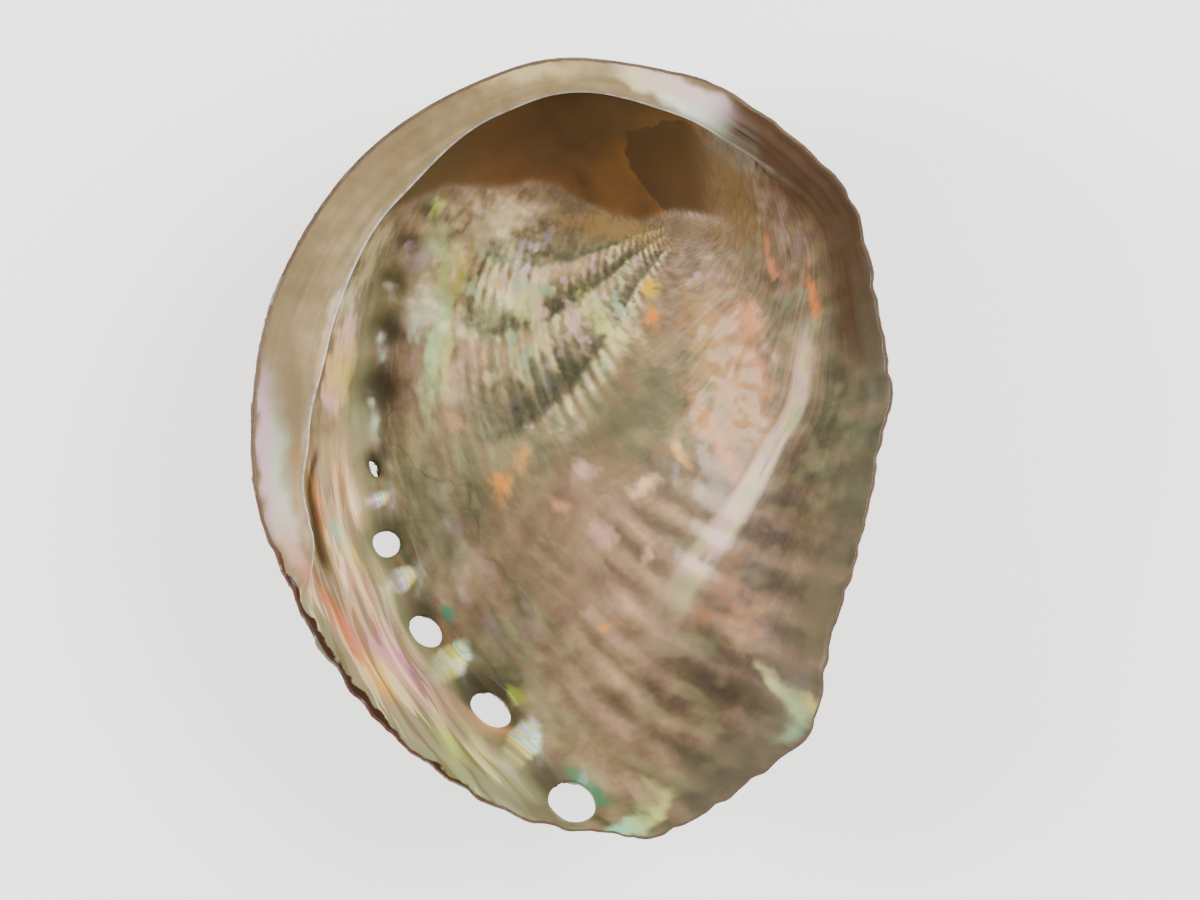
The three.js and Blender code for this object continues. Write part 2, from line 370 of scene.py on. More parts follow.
def collars(plan):
    """The raised rim round each open pore on the outside, and the knob over each closed one."""
    total = np.zeros(len(plan))
    for x, y, long, wide in OPEN_PORES:
        along, across = row_frame(plan, x, y)
        total += 0.42 * long * bell(np.hypot(along / long, across / wide), 0.72)
    for x, y, width in CLOSED_PORES:
        total += 0.5 * width * bell(np.hypot(plan[:, 0] - x, plan[:, 1] - y), width)
    return total


def stage_of(age, cord):
    """Stage of growth: the same all along an old lip, which leans towards the apex at its outer end."""
    return age - FOLD_LEAN * np.maximum(cord - FOLD_LEAN_CORD, 0) ** 2


def folds(stage):
    """A swelling on the young side of each old lip, and a sharp drop at the lip, from -1 to 1."""
    height = np.zeros(len(stage))
    for place in FOLD_STAGES[1:]:
        height += 0.9 * between(stage, place - 0.25, place - 0.04, place - 0.04, place + 0.03)
        height -= 0.5 * bell(stage - place - 0.02, 0.05)
    return height


def rib_strength(plan, points, age, cord, masks):
    """How strongly the broad ribs stand out: in patches, and faint in the middle of the bowl."""
    across, beside = along_track(plan)
    worn = smooth(age, 0.3, 0.5) * smooth(cord, 68, 72) + smooth(age, 0.9, 1.3) * fade(cord, 68, 74)
    strength = np.clip(0.5 + 0.9 * lumps(points, 16, 1), 0, 1) * (0.15 + 0.85 * (1 - worn))
    strength *= 1 - 0.85 * bell(across + 5, 9) * beside
    return strength * (1 - 0.6 * masks["dusk"]) * (1 - 0.5 * masks["margin"])


def inner_relief(plan, points, share, age, cord, masks):
    """Heights of what the lining shows: ribs, pleats, growth lines, lumps, the muscle scar and the pits."""
    size = np.exp(-GROWTH_RATE * age)
    pleated = masks["pleated"]
    plain = 1 - np.maximum.reduce([masks["ledge"], masks["recess"], 0.8 * masks["scar"], masks["wall"]])
    smooth_bowl = plain * (1 - pleated)
    wander = lumps(points, 14, 6)
    ribs = np.cos(2 * np.pi * (rib_number(cord) + 0.1 * wander))
    cords = np.cos(2 * np.pi * (cord + 0.12 * wander))
    growth_lines = lumps(np.column_stack([age * 40, cord * 0.15, 0 * age]), 1, 2)
    flows = np.sin(2 * np.pi * (along_track(plan)[0] / 7 + 0.4 * lumps(points, 22, 8)))
    relief = 0.25 * size * ribs * smooth_bowl * rib_strength(plan, points, age, cord, masks)
    relief += pleated * (0.4 * size ** 2 * np.abs(cords) + 0.35 * folds(masks["stage"]))
    relief += plain * (0.15 * masks["band"] + 0.06 * growth_lines)
    relief += 0.45 * lumps(points, 16, 3) * (1 - masks["ledge"])
    relief += (1.2 * lumps(points, 6, 4) + 0.4 * lumps(points, 2.5, 7)) * masks["lumpy"]
    relief += 0.5 * masks["wall"] * flows
    relief += 0.3 * lumps(points, 3.5, 9) * smooth_bowl * smooth(age, 0.2, 0.6)
    relief += masks["scar"] * (0.25 + 0.12 * lumps(points, 3, 5)) - 0.5 * masks["recess"]
    relief += pits(plan) + saddles(plan) - funnels(plan)
    return relief * fade(share, 0.985, 1)


def pits(plan):
    """The closed pores: each a pit in a low swelling."""
    total = np.zeros(len(plan))
    for x, y, width in CLOSED_PORES:
        away = np.hypot(plan[:, 0] - x, plan[:, 1] - y)
        total += 0.2 * width * bell(away, width * 1.2) - 0.6 * width * bell(away, width * 0.7)
    return total


def rises():
    """The middle of each rise between two open pores, and the length of the younger pore."""
    for (x0, y0, long, _), (x1, y1, _, _) in zip(OPEN_PORES, OPEN_PORES[1:]):
        yield x0 + (x1 - x0) * RISE_PLACE, y0 + (y1 - y0) * RISE_PLACE, long


def saddles(plan):
    """The smooth rises between one pore and the next."""
    total = np.zeros(len(plan))
    for x, y, long in rises():
        along, across = row_frame(plan, x, y)
        total += 0.2 * long * bell(np.hypot(along / 0.36, (across + 0.15 * long) / 0.55) / long, 1)
    return total


def ripple(plan):
    """Distance, on each rise between two pores, from a place on the wall beside it."""
    nearest = np.full(len(plan), FAR)
    for x, y, _ in rises():
        along, across = row_frame(plan, x, y)
        away = np.hypot(along, across - RIPPLE_REACH) + RIPPLE_GAP * (np.abs(along) > RIPPLE_WIDTH)
        nearest = np.minimum(nearest, away)
    return nearest


def suture(plan):
    """The groove that winds into the spire, as a depth from 0 to 1."""
    reach = plan - APEX
    radius = np.maximum(np.linalg.norm(reach, axis=1), 0.2)
    angle = np.arctan2(reach[:, 1], reach[:, 0])
    groove = np.zeros(len(plan))
    for turn in range(4):
        back = math.radians(60) - angle + 2 * np.pi * turn
        line = 26 * np.exp(-0.36 * back)
        groove = np.maximum(groove, bell((radius - line) / (0.6 + 0.07 * line), 1) * (back > 0))
    return groove


def outer_relief(plan, points, share, age, cord, _masks):
    """Heights of the outside: cords, growth steps, raised pores, the spire's groove and crust."""
    size = np.exp(-GROWTH_RATE * age)
    relief = 0.32 * size * np.cos(2 * np.pi * cord) + 0.12 * np.cos(6 * np.pi * cord) * size
    steps = np.mod(age * 14 + 0.35 * lumps(points, 20, 11), 1)
    relief += 0.35 * (0.3 + size) * steps ** 3
    relief += collars(plan) - 0.9 * suture(plan)
    relief += 0.5 * lumps(points, 9, 12) + 0.3 * np.abs(lumps(points, 3.2, 13))
    relief += 0.12 * lumps(points, 1.3, 14)
    return relief * fade(share, 0.97, 1)


# ---------------------------------------------------------------- masks for the finish

# The lower edge of the brown hollow under the spire's end of the ledge; at its left end the hollow runs on
# as painted shadow under the ledge.
RECESS_FOOT = ((-43, 62), (-41, 46), (-33.5, 50), (-26, 53.6), (-15, 53.4), (-8.8, 54.8), (-3.7, 54),
               (-1.2, 52.3), (1.5, 50.7), (7.7, 48.2), (13.8, 46.8), (20.4, 48.8), (31, 47))

# Ovals of the plan: middle, two half-widths, direction in degrees.
SCAR_OVALS = ((-25, 1, 12, 9, -20), (-5, -20, 12, 16, 20), (8, 3, 17, 9, 35), (-12, -5, 12, 9, 0))
# The hollow's dark corner, which is painted shade.
CORNER_OVALS = ((19.5, 59, 8, 9, 60), (27, 53, 10, 8, 40))
LUMPY_OVAL = (-20, 38, 18, 13, 35)

# Spots of colour: middle, length, width, direction in degrees, colour and strength. Some are painted
# highlights or painted shade, as noted beside them.
SPOTS = (
    # ledge
    (-9, 75.6, 30, 5, 4, "cab78f", 0.75), (-58.2, 18, 26, 5, 80, "8a7a60", 0.7),
    # The near-white, pink and green at the ledge's upper-right end: its pearly colours, partly a painted
    # highlight.
    (25, 67.6, 22, 5.8, -33, "fdfff0", 1), (22, 71.6, 20, 2.8, -25, "eab4c4", 1),
    (15, 73.4, 10, 2.6, -12, "e2d08c", 0.85), (29, 64.8, 11, 3, -38, "cffac8", 1),
    (27.6, 66.6, 8, 2, -36, "dcc0da", 0.6), (35, 59, 12, 2, -46, "b7a488", 0.8),
    # The dark olive-brown spot at (31.5, 57.5) is painted shadow under the ledge's pearly end.
    (31.5, 57.5, 10, 5, -45, "6f5a3e", 0.85), (-58.8, -5, 20, 3.6, -84, "c2cfb6", 0.85),
    (-61.6, 0, 26, 2.4, -87, "dcb4c4", 0.9), (-56, -20, 16, 4, -66, "cfa596", 0.85),
    (-57.8, -13, 8, 3, -70, "e2dccd", 0.8), (-55.6, 6, 22, 3.6, -86, "75654b", 0.95),
    (-55, -8, 12, 3, -84, "a3805f", 0.8),
    # bowl
    (-25, 2, 30, 26, -30, "a39a78", 0.5), (-5, -22, 26, 20, 60, "a08e6c", 0.35),
    # wall
    (-47.5, -34, 18, 2.8, -57, "dc7e4c", 1), (-39.8, -45.6, 11, 3, -51, "e09458", 0.95),
    (-35.4, -43.6, 20, 5, -44, "dc98b2", 1), (-38.2, -46.2, 8, 2.6, -50, "fbeb90", 1),
    (-25.2, -59.5, 10, 2.8, -58, "e0ea90", 1), (-18.6, -61.6, 9, 2.8, -55, "dfe498", 0.95),
    # The dark olive strokes at (-30.4, -55) and (-22.2, -61.6) are painted shade in the wall's grooves.
    (-20, -54.6, 18, 4.4, -27, "e2aa80", 0.95), (-30.4, -55, 14, 2, -54, "5a6140", 0.95),
    (-22.2, -61.6, 9, 1.7, -50, "5a6444", 0.95), (-49.6, -38.4, 18, 4, -60, "85866a", 0.95),
    (-37.6, -55, 20, 4.6, -49, "7f8266", 0.95), (-21.4, -67.4, 20, 4.6, -30, "878c6c", 0.95),
    (-10, -68, 12, 4.6, -20, "9aa07a", 0.85), (-47.6, -18, 7, 2.2, -62, "6fd6c0", 1),
    (-45.4, -21.2, 6, 1.8, -60, "f5dc6c", 1), (-51.4, -14, 13, 2, -78, "dd8548", 0.95),
    (-47.6, -5, 12, 6, -80, "e6a890", 0.9), (-49, -1.6, 4, 2, -60, "a0ac74", 0.9),
    (-44, -13, 10, 4, -75, "c8a27e", 0.8), (-43.4, -29, 20, 3.6, -62, "c2907e", 0.9),
    (-38.6, -30, 16, 2.4, -60, "a6a074", 0.8), (-48.1, 17.5, 15, 5, 84, "ecc094", 0.95),
    (-47.4, 14.4, 8, 3, 80, "e8de80", 0.9), (-46.4, 25, 9, 3, 74, "ecd4ce", 0.85),
    (-45.6, 4, 9, 7, 85, "8f9676", 0.8), (-50.4, 10, 5, 2, 80, "e6b6c0", 0.8),
    (-45.8, 31, 6, 3, 60, "d8cfa8", 0.7), (-46.4, -9, 8, 3.4, -70, "f2d29a", 0.8),
    # beside the pores
    (-34.5, 36, 26, 5.5, 62, "675c40", 0.85), (-40.6, 40.5, 15, 4.4, 66, "b4a584", 0.9),
    # Small pale spots on the lower side of each pit: painted highlights.
    (-41.2, 4.9, 2.8, 1.4, 80, "c4dcc8", 0.8), (-39.7, 18.9, 2.2, 1.3, 80, "b4c8ba", 0.75),
    (-41.6, 9.4, 1.7, 1.1, 70, "ece8d8", 0.9), (-39.6, 22.6, 2, 1.1, 65, "f2efe6", 1),
    (-37.6, 33, 1.3, 0.9, 0, "e6dccb", 0.9), (-33.8, 41.4, 1.6, 1, 40, "f0c8dc", 0.9),
    (-26.2, -34, 4.6, 3.4, -50, "3a7862", 0.9), (-12.2, -50.6, 4.6, 3, -50, "84903e", 0.85),
    (0.8, -66.2, 6, 3, -25, "477a58", 0.9), (5.2, -69.4, 6, 3, -60, "3f6f4e", 0.9),
    # Painted shade on the old side of the pore at (-38.2, -19.4).
    (-35.4, -15.5, 4, 3, 0, "3c3826", 0.8),
    # middle
    (-15, -7.6, 4.4, 2.8, 75, "ec9c50", 1), (-10.4, -2, 4.6, 2.6, 60, "e0a468", 0.95),
    (-25, 6, 4, 3, -60, "d89a80", 0.8), (2.6, -4.2, 8, 4, -20, "d9b3ab", 0.7),
    (5.6, -18.2, 6, 4, -30, "d2aa9e", 0.8), (14.6, -8.2, 7, 4, 60, "ecc8a4", 0.9),
    (15.6, -21, 7, 3, 55, "d4ae98", 0.7), (6.6, -36.6, 4, 1.8, 40, "d88c54", 0.85),
    (-2, -12, 5, 3, -20, "cf9678", 0.7), (0, 4, 10, 3, 25, "c3a58c", 0.5),
    # pleats
    (4, 28, 12, 5, -62, "cfd486", 0.75), (7.5, 25, 8, 3, -60, "f2e6b0", 0.8),
    (0, 25.5, 10, 2.6, -66, "e6c0b4", 0.9), (-10.6, 30, 9, 6, -75, "e4e6a4", 0.9),
    (-7.6, 29, 7, 3, -70, "e8bcb0", 0.8), (-11.6, 34.5, 4.4, 2.4, 0, "b0ccb8", 0.8),
    (-5.5, 20.5, 10, 2, -68, "e6cfa4", 0.85), (-11.5, 16.5, 9, 2, -70, "d8cf9e", 0.8),
    (9, 30, 6, 2.6, -56, "b8ccaa", 0.8), (-28.4, 22, 21, 3, 82, "c4dea4", 0.95),
    (-26, 18.5, 12, 3, 78, "e8dc98", 0.8), (-24, 15, 8, 2.4, 72, "e2b8a8", 0.8),
    (15.2, 33.2, 4, 3, -50, "eec060", 1), (16.6, 26.8, 4, 2.6, -60, "e29048", 1),
    (13, 24, 7, 3, -55, "dccb94", 0.7),
    # beside the spire
    (-28.4, 48.8, 3, 2, 70, "ecec9c", 0.9), (-31.4, 39.6, 6, 2.4, 50, "d8b4bc", 0.6),
    (-28.4, 42, 6, 3.6, 50, "a4bc84", 0.8), (-24.8, 35.5, 12, 7, 62, "93863f", 0.8),
    (-18, 46, 12, 8, 20, "cdbd96", 0.7), (-8.2, 42.2, 4.4, 2.6, 20, "e8ccca", 0.8),
    (-32, 27, 10, 5, 65, "c9cdb6", 0.8), (9, 45.2, 22, 6, -10, "957b54", 0.9),
    # Painted shadow in the bowl under the ledge's pearly end.
    (32, 50, 20, 9, -62, "6a543a", 0.85),
    # outer lip
    (48.6, 30, 11, 2.6, -80, "c87e56", 0.9), (40.4, 38, 8, 2.2, -68, "c08062", 0.85),
    (36.6, 27, 6, 4, -80, "d89a74", 0.8), (36, 19, 26, 8, -74, "bd8a6c", 0.8),
    (27, 24, 24, 8, -66, "a4855c", 0.8), (33, 8, 22, 8, -66, "b08a60", 0.85),
    (28, 3, 22, 5, -60, "c68c66", 0.7), (22, -1, 10, 3, -55, "dcae74", 0.8),
    (50, -31, 30, 7, 76, "675a44", 0.75), (29, -63.5, 20, 5, 34, "635842", 0.75),
    (41, -48, 10, 3, -42, "d6d49c", 0.85), (45.2, -52.2, 7, 2.8, -45, "b4dc9c", 0.95),
    (47.8, -51.6, 4, 2.6, -60, "f0e288", 0.95), (43.6, -57, 7, 3, 35, "b0caa6", 0.75),
    (12.5, -75.4, 8, 3.4, 20, "c2e090", 0.95), (9.6, -76.6, 5, 2.2, 10, "84decc", 0.95),
    (17.6, -72.4, 7, 3, 50, "dedc94", 0.85), (15, -70, 8, 5, 20, "b0a67c", 0.6),
    (30, -28, 26, 9, 55, "8d5e3c", 0.55), (35, -36, 10, 8, 60, "b28a6c", 0.7),
)


def oval(plan, x, y, wide, high, turned, wander=0):
    """1 inside a soft-edged oval of the plan, 0 outside it."""
    turned = math.radians(turned)
    dx, dy = plan[:, 0] - x, plan[:, 1] - y
    along = (dx * math.cos(turned) + dy * math.sin(turned)) / wide
    across = (dy * math.cos(turned) - dx * math.sin(turned)) / high
    return fade(np.hypot(along, across) + wander, 0.75, 1.25)


def recess_mask(plan):
    """The bare brown hollow under the spire's end of the ledge, running on at its left end as painted
    shadow under the ledge.
    """
    x, y = plan.T
    foot = np.interp(x, *np.array(RECESS_FOOT).T)
    return smooth(y - foot, -0.5, 0.5) * fade(x + 0.2 * (y - 50), 24, 35)


def ledge_masks(share, spoke, edge, degrees):
    """The ledge's upper side, its gold line and the painted highlight along its free edge, and painted
    shade in the crevice under its lower end.
    """
    step = (1 - share) * spoke["radius"] / spoke["foot"]
    ledge = smooth(spoke["strength"], 0.05, 0.5)
    # Painted shade in the crevice under the ledge's lower end.
    crevice = bell(edge - spoke["width"] - 0.4, 0.5 + 0.9 * smooth(degrees, 180, 198))
    return dict(
        ledge=fade(step, 0.54, 0.66) * ledge,
        fold=np.clip(step / 0.5, 0, 1.2) * ledge,
        # Painted highlight along the ledge's free edge.
        ledge_edge=bell(step - 0.455, 0.045) * ledge,
        ledge_line=bell(step - 0.4, 0.03) * ledge,
        crevice=crevice * between(degrees, 179, 184, 204, 210) * (step > 1),
    )


def growth_masks(plan, age, cord, degrees):
    """What follows the growth: pleats, the painted pale sheen along the lip and the painted shade between
    it and the lip, the lip's lines and margin.
    """
    x, y = plan.T
    stage = stage_of(age, cord)
    near_lip = fade(stage, 0.42, 0.55) * smooth(age, 0.12, 0.3) * smooth(x, 18, 28) * smooth(y, -10, 8)
    return dict(
        stage=stage,
        pleated=between(stage, 0.7, 0.9, 1.62, 1.8) * between(cord, 64.5, 66.5, 86, 91),
        # The pale band is a painted sheen; the mark below it is painted shade between the sheen and the
        # lip.
        band=fade(np.abs(age - SHEEN_AGE), 0.022, 0.045) * between(y, -46, -18, 18, 28) * smooth(x, 12, 26),
        dusk=bell(age - 0.19, 0.09) * fade(y, 10, 30) * smooth(x, 5, 25),
        along_lip=near_lip * smooth(np.linalg.norm(plan - APEX, axis=1), 10, 24),
        margin=fade(age, 0.03, 0.13) * (1 - between(degrees, 20, 40, 260, 300)),
    )


def pore_masks(plan, across, beside):
    """What lies along the row of pores."""
    return dict(
        pore_row=bell(across, 4) * beside,
        gutter=bell(across - 3.5, 2.2) * beside,
        shade=crescents(plan),
        saddle=np.clip(saddles(plan) * 0.8, 0, 1),
        ripple=ripple(plan),
    )


def finish_masks(plan, points, share, spoke, age, cord, edge):
    """Where each kind of lining lies, from 0 to 1 at every point; stage and ripple are measures."""
    across, beside = along_track(plan)
    degrees = np.mod(spoke["degrees"], 360)
    x, y = plan.T
    wander = 0.35 * lumps(points, 7, 21) + 0.15 * lumps(points, 2.5, 22)
    masks = pore_masks(plan, across, beside)
    masks.update(ledge_masks(share, spoke, edge, degrees))
    masks.update(growth_masks(plan, age, cord, degrees))
    below = 1 - masks["ledge"]
    recess = recess_mask(plan) * below
    wall = smooth(across, 3, 6) * between(degrees, 175, 195, 258, 268) * beside
    scar = np.maximum.reduce([oval(plan, *row, wander) for row in SCAR_OVALS])
    masks["pleated"] *= (1 - recess) * below
    masks.update(
        recess=recess,
        wall=wall * below,
        scar=scar * (1 - wall) * below,
        lip=between(degrees, 3, 25, 62, 70) * fade(edge, 6, 13),
        suture=suture(plan),
        # Painted shade: in the hollow's corner, and, below, along the ledge's edge over the hollow.
        corner=np.maximum.reduce([oval(plan, *row, wander) for row in CORNER_OVALS]),
        olive=fade(x, -34, -12),
        deep=smooth(y - 0.24 * x, 54, 66),
        ragged_rim=between(degrees, 196, 204, 246, 262),
        lumpy=oval(plan, *LUMPY_OVAL) * (1 - recess),
    )
    return masks


def vivid(code):
    """A colour made stronger, because soft bright light pales it."""
    parts = np.array(colour(code)[:3])
    return np.clip(parts.mean() + VIVIDNESS * (parts - parts.mean()), 0, 1)


def tinted(plan, points, calm):
    """The spots of colour that stand out, blended: the colour of each point, and how strong it is.

    The spots' outlines wander, and less where calm is 1.
    """
    total = np.zeros((len(plan), 3))
    bend = 1 - 0.75 * calm
    bent_x = plan[:, 0] + bend * (1.5 * lumps(points, 4.5, 31) + 0.7 * lumps(points, 1.8, 32))
    bent_y = plan[:, 1] + bend * (1.5 * lumps(points, 4.5, 33) + 0.7 * lumps(points, 1.8, 34))
    weights, left = np.full(len(plan), 1e-6), np.ones(len(plan))
    for x, y, long, wide, turned, code, strength in SPOTS:
        turned = math.radians(turned)
        dx, dy = bent_x - x, bent_y - y
        along = (dx * math.cos(turned) + dy * math.sin(turned)) / long
        across = (dy * math.cos(turned) - dx * math.sin(turned)) / wide
        weight = strength * bell(np.hypot(along, across), SPOT_SOFTNESS)
        total += weight[:, None] * vivid(code)
        weights += weight
        left *= 1 - weight
    return total / weights[:, None], 1 - left


# ---------------------------------------------------------------- the mesh

def flat_sheet():
    """The shell's plan as a disc of spokes and rings, with the open pores cut out."""
    disc = bmesh.new()
    bmesh.ops.create_grid(disc, x_segments=RINGS, y_segments=SPOKES, size=0.5)
    grid = np.array([vertex.co[:2] for vertex in disc.verts]) + 0.5
    spoke = spokes_at(grid[:, 1])
    ring = grid[:, 0] * RINGS
    foot_share = 1 - spoke["foot"] / spoke["radius"]
    bowl = foot_share * (ring / BOWL_RINGS) ** 0.85
    ledge = foot_share + (1 - foot_share) * (ring - BOWL_RINGS) / LEDGE_RINGS
    share = np.where(ring < BOWL_RINGS, bowl, ledge)
    plan = MIDDLE + (spoke["end"] - MIDDLE) * share[:, None]
    for vertex, (x, y) in zip(disc.verts, plan):
        vertex.co = (x, y, 0)
    bmesh.ops.remove_doubles(disc, verts=disc.verts, dist=MIDDLE_WELD)
    for pore in OPEN_PORES:
        cut_pore(disc, *pore)
    return disc


def evened(angles):
    """Angles round a closed loop, moved towards equal steps."""
    for _ in range(6):
        before, after = np.roll(angles, 1), np.roll(angles, -1)
        before[0] -= 2 * math.pi
        after[-1] += 2 * math.pi
        angles = angles / 2 + (before + after) / 4
    return angles


def cut_pore(disc, x, y, long, wide):
    """Cuts an oval out of the disc, its long way along the row, and evens the faces round it."""
    turned = row_direction(x, y)

    def polar(co):
        dx, dy = co.x - x, co.y - y
        along = (dx * math.cos(turned) + dy * math.sin(turned)) / (long / 2)
        across = (dy * math.cos(turned) - dx * math.sin(turned)) / (wide / 2)
        return math.hypot(along, across), math.atan2(across, along)

    def place(angle):
        along, across = math.cos(angle) * long / 2, math.sin(angle) * wide / 2
        return Vector((x + along * math.cos(turned) - across * math.sin(turned),
                       y + along * math.sin(turned) + across * math.cos(turned), 0))

    def near(reach):
        return [face for face in disc.faces if polar(face.calc_center_median())[0] < reach]

    edges = {edge for face in near(1.9) for edge in face.edges}
    bmesh.ops.subdivide_edges(disc, edges=list(edges), cuts=1, use_grid_fill=True)
    rim = {vertex for vertex in disc.verts if vertex.is_boundary}
    bmesh.ops.delete(disc, geom=near(1), context="FACES")
    loop = [vertex for vertex in disc.verts
            if vertex.is_boundary and vertex not in rim and polar(vertex.co)[0] < 1.6]
    loop.sort(key=lambda vertex: polar(vertex.co)[1])
    for vertex, angle in zip(loop, evened(np.unwrap([polar(vertex.co)[1] for vertex in loop]))):
        vertex.co = place(angle)
    around_pore = [vertex for vertex in disc.verts
                   if polar(vertex.co)[0] < 2 and not vertex.is_boundary]
    for _ in range(8):
        bmesh.ops.smooth_vert(disc, verts=around_pore, factor=0.5, use_axis_x=True, use_axis_y=True,
                              use_axis_z=False)


def read_points(mesh, vectors, name):
    values = np.empty(len(mesh.vertices) * 3)
    vectors.foreach_get(name, values)
    return values.reshape(-1, 3)


def raised(disc, sheet, relief, outside):
    """A sheet as a mesh: the disc lifted to its place, with its relief and its marks."""
    mesh = bpy.data.meshes.new("sheet")
    disc.to_mesh(mesh)
    plan = read_points(mesh, mesh.vertices, "co")[:, :2]
    turn = turn_of(plan)
    spoke = spokes_at(turn)
    share = np.linalg.norm(plan - MIDDLE, axis=1) / spoke["radius"]
    share = np.where(share > RIM_SHARE, 1, share)
    age, cord = growth(plan)
    base = sheet(plan, share, spoke)
    edge = np.linalg.norm(base[:, :2] - spoke["end"], axis=1)
    masks = finish_masks(plan, base, share, spoke, age, cord, edge)
    mesh.vertices.foreach_set("co", base.ravel())
    mesh.update()
    normals = read_points(mesh, mesh.vertex_normals, "vector")
    lift = relief(plan, base, share, age, cord, masks)
    points = base + normals * lift[:, None] * (-1 if outside else 1)
    push = scallops(share, spoke, RIM_LENGTH[-1] * turn / CORD_SPACING)
    points[:, :2] += (spoke["end"] - MIDDLE) / spoke["radius"][:, None] * push[:, None]
    mesh.vertices.foreach_set("co", points.ravel())
    tint, tint_share = tinted(base[:, :2], base, np.maximum(masks["wall"], masks["pore_row"]))
    marks = dict(
        age=age, cord=cord, rib=rib_number(cord), reach=LIP_REACH * np.exp(-GROWTH_RATE * age), edge=edge,
        arc=RIM_LENGTH[-1] * turn, across=along_track(plan)[0], tint_share=tint_share, **masks,
    )
    write_marks(mesh, marks, tint)
    return mesh


def write_marks(mesh, marks, tint):
    """Gives the mesh the numbers and the colour of each point that the finishes read."""
    for name, values in marks.items():
        mesh.attributes.new(name, "FLOAT", "POINT").data.foreach_set("value", values.astype(np.float32))
    tints = np.column_stack([tint, np.ones(len(tint))]).astype(np.float32)
    mesh.attributes.new("tint", "FLOAT_COLOR", "POINT").data.foreach_set("color", tints.ravel())


def boundary_loops(solid):
    """The open edges, in connected groups."""
    loose = {edge for edge in solid.edges if edge.is_boundary}
    groups = []
    while loose:
        group, front = set(), [loose.pop()]
        while front:
            edge = front.pop()
            group.add(edge)
            joined = {other for vertex in edge.verts for other in vertex.link_edges if other in loose}
            loose -= joined
            front.extend(joined)
        groups.append(group)
    return groups


def middle_of(edges):
    return sum((vertex.co for edge in edges for vertex in edge.verts), Vector()) / (2 * len(edges))


def build_shell():
    """The lining and the crust, made from one disc and joined at the rim and in the pores."""
    disc = flat_sheet()
    lining = raised(disc, inner_sheet, inner_relief, outside=False)
    crust = raised(disc, outer_sheet, outer_relief, outside=True)
    solid = bmesh.new()
    solid.from_mesh(lining)
    inside_faces = len(solid.faces)
    solid.from_mesh(crust)
    solid.faces.ensure_lookup_table()
    outside_faces = solid.faces[inside_faces:]
    for face in outside_faces:
        face.material_index = 1
    bmesh.ops.reverse_faces(solid, faces=outside_faces)
    bmesh.ops.remove_doubles(solid, verts=solid.verts, dist=RIM_WELD)
    join_pores(solid)
    settle(solid)
    for face in solid.faces:
        face.smooth = True
    mesh = bpy.data.meshes.new("abalone_shell")
    solid.to_mesh(mesh)
    shell = bpy.data.objects.new("abalone_shell", mesh)
    bpy.context.scene.collection.objects.link(shell)
    return shell


def join_pores(solid):
    """Bridges each pore's mouth in the lining to its mouth in the crust."""
    loops = boundary_loops(solid)
    for x, y, *_ in OPEN_PORES:
        place = Vector((x, y))
        pair = sorted(loops, key=lambda edges: (middle_of(edges).xy - place).length)[:2]
        bmesh.ops.bridge_loops(solid, edges=[edge for edges in pair for edge in edges])


def settle(solid):
    """Centres the shell, wears its back flat where it rests, and turns millimetres into metres."""
    low = Vector((RIM_LINE[:, 0].min(), RIM_LINE[:, 1].min(), 0))
    high = Vector((RIM_LINE[:, 0].max(), RIM_LINE[:, 1].max(), 0))
    centre = (low + high) / 2
    lowest = min(vertex.co.z for vertex in solid.verts)
    centre.z = lowest + REST_CUT
    for vertex in solid.verts:
        vertex.co -= centre
        vertex.co.z = max(vertex.co.z, 0)
        vertex.co *= MM


# ---------------------------------------------------------------- finishes

class Value:
    """A shader value that can be written in plain arithmetic."""

    def __init__(self, finish, socket):
        self.finish, self.socket = finish, socket

    def __add__(self, other):
        return self.finish.math("ADD", self, other)

    def __sub__(self, other):
        return self.finish.math("SUBTRACT", self, other)

    def __rsub__(self, other):
        return self.finish.math("SUBTRACT", other, self)

    def __mul__(self, other):
        return self.finish.math("MULTIPLY", self, other)

    def __truediv__(self, other):
        return self.finish.math("DIVIDE", self, other)

    __radd__ = __add__
    __rmul__ = __mul__


